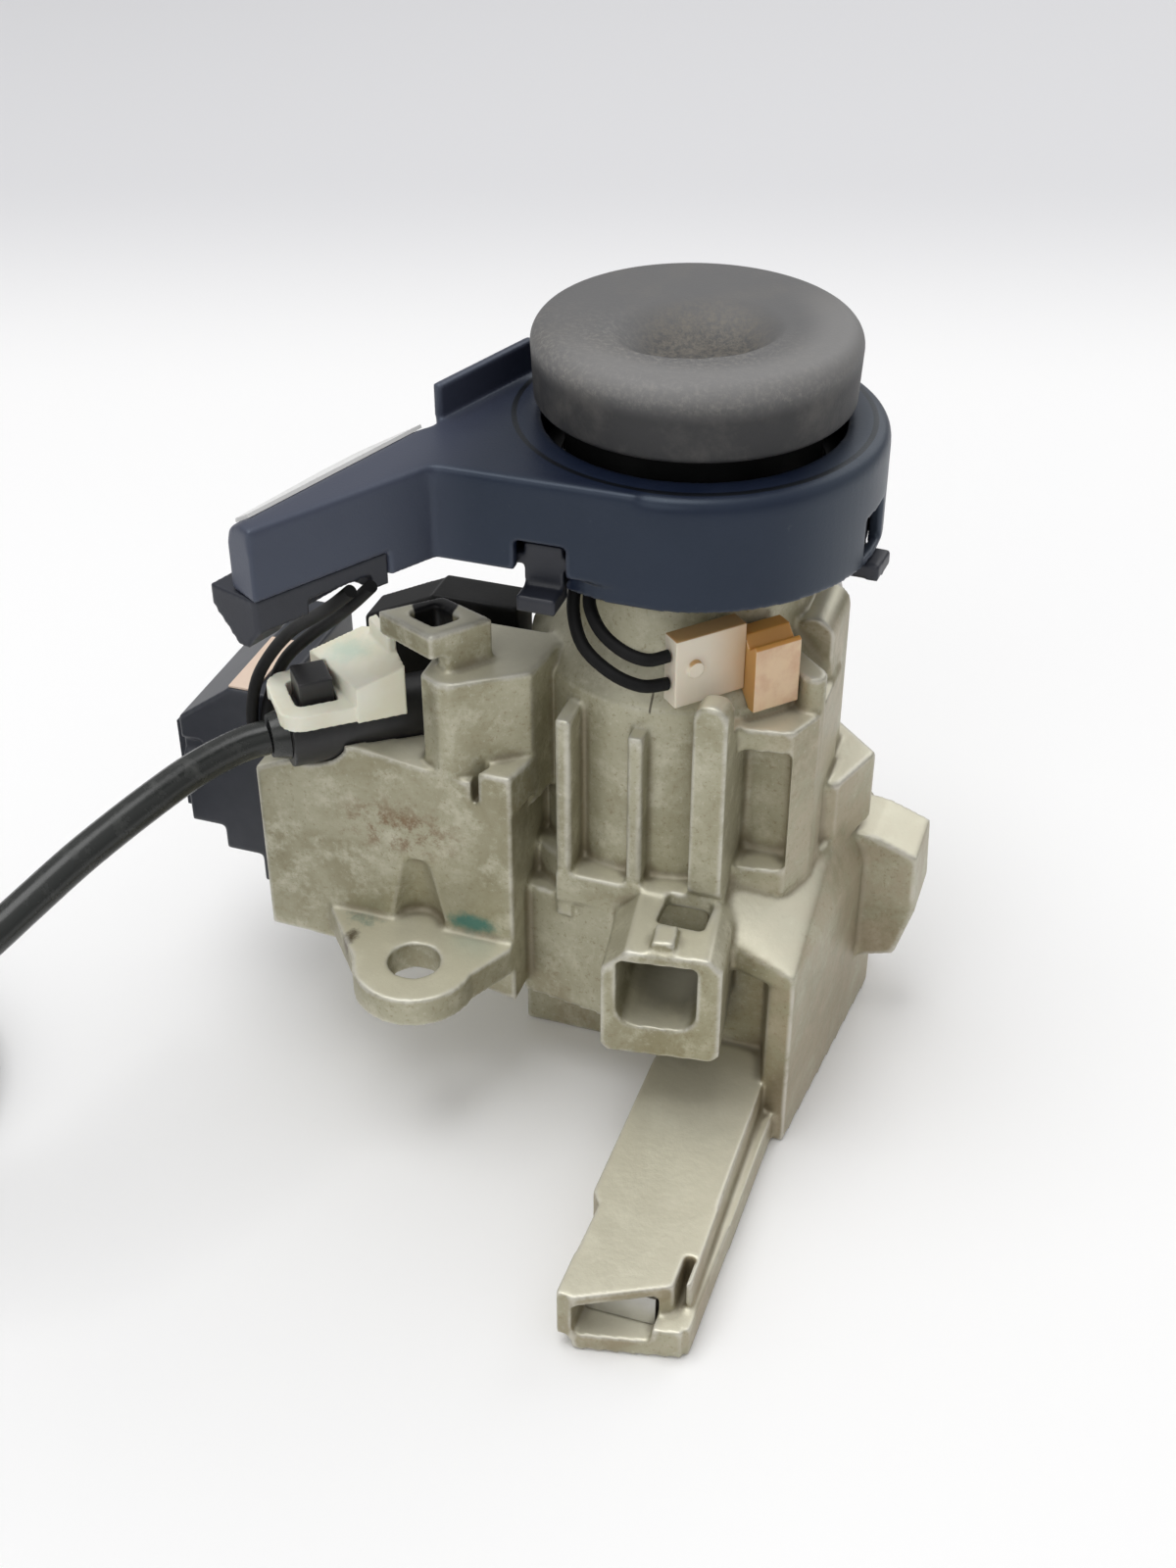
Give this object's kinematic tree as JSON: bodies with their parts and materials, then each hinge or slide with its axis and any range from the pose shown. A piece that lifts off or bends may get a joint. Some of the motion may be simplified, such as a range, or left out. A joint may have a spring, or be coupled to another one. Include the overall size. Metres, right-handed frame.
{
  "type": "ignition switch",
  "caption": "Steering-column ignition switch: twist knob in an antenna bezel on a die-cast lock housing, with a bolt guide, a slide switch and an interlock cable.",
  "frame": {"origin": "knob axis at the flat underside the lock stands on", "axes": "+Z along the knob axis towards the knob, -Y the way the lock bolt leaves its guide, -X towards the electrical switch"},
  "size_m": [0.191, 0.131, 0.1141],
  "materials": {
    "casting": "matte",
    "cover_steel": "satin",
    "works_steel": "satin",
    "works_brass": "satin",
    "knob": "matte",
    "bezel": "satin",
    "bezel_inner": "satin",
    "switch_plastic": "satin",
    "black_plastic": "satin",
    "copper_wire": "gloss",
    "board": "satin",
    "white_lens": "gloss",
    "light_guide": "gloss",
    "plug": "satin",
    "header": "gloss",
    "clip": "satin",
    "sticker": "matte",
    "cable": "gloss"
  },
  "bodies": {
    "housing": {"lock_housing": "casting", "base_cover": "cover_steel", "lock_sleeve": "works_brass", "sleeve_pin": "works_steel", "switch_case": "switch_plastic", "switch_cover": "switch_plastic", "switch_contacts": "works_brass", "switch_screws": "cover_steel", "switch_label": "sticker", "bezel_upper_shell": "bezel", "bezel_lower_shell": "bezel_inner", "antenna_bobbin": "black_plastic", "antenna_coil": "copper_wire", "circuit_board": "board", "arm_lens": "white_lens", "light_guide": "light_guide", "antenna_header": "header", "antenna_plug": "plug", "antenna_wire_a": "cable", "antenna_wire_b": "cable", "lead_wire_a": "cable", "lead_wire_b": "cable", "cable_end": "black_plastic", "plunger_spring": "works_steel", "cable_clip": "clip", "cable_boot": "cable", "interlock_cable": "cable", "cable_coil": "cable", "coil_tie": "black_plastic", "cable_eye": "works_steel"},
    "rotor": {"lock_rotor": "works_brass", "drive_pinion": "works_steel", "bolt_crank": "works_steel", "knob_spring": "works_steel"},
    "knob": {"knob_cap": "knob", "knob_stem": "knob"},
    "bolt": {"lock_bolt": "works_steel"},
    "rack": {"actuator_rack": "works_steel", "contact_slide": "black_plastic"},
    "plunger": {"interlock_plunger": "works_steel"}
  },
  "joints": [
    {"name": "knob_turn", "type": "hinge", "parent": "housing", "child": "rotor", "pos_m": [0, 0, 0.07], "axis": [0, 0, -1], "range_deg": [-60, 50]},
    {"name": "knob_push", "type": "slide", "parent": "rotor", "child": "knob", "axis": [0, 0, -1], "range_m": [0, 0.002], "stiffness_N_per_m": 900, "springref_m": -0.002, "deforming": ["knob_spring"]},
    {"name": "bolt_slide", "type": "slide", "parent": "housing", "child": "bolt", "axis": [0, 1, 0], "range_m": [-0.0083, 0.007]},
    {"name": "rack_slide", "type": "slide", "parent": "housing", "child": "rack", "axis": [-1, 0, 0], "range_m": [-0.0058, 0.0049]},
    {"name": "plunger_slide", "type": "slide", "parent": "housing", "child": "plunger", "axis": [-0.7771, -0.6293, 0], "range_m": [0, 0.006], "stiffness_N_per_m": 300, "springref_m": -0.002, "deforming": ["plunger_spring"]}
  ],
  "couplings": [
    {"joint": "bolt_slide", "follows": "knob_turn", "m_per_rad": 0.0078},
    {"joint": "rack_slide", "follows": "knob_turn", "m_per_rad": 0.0054}
  ]
}
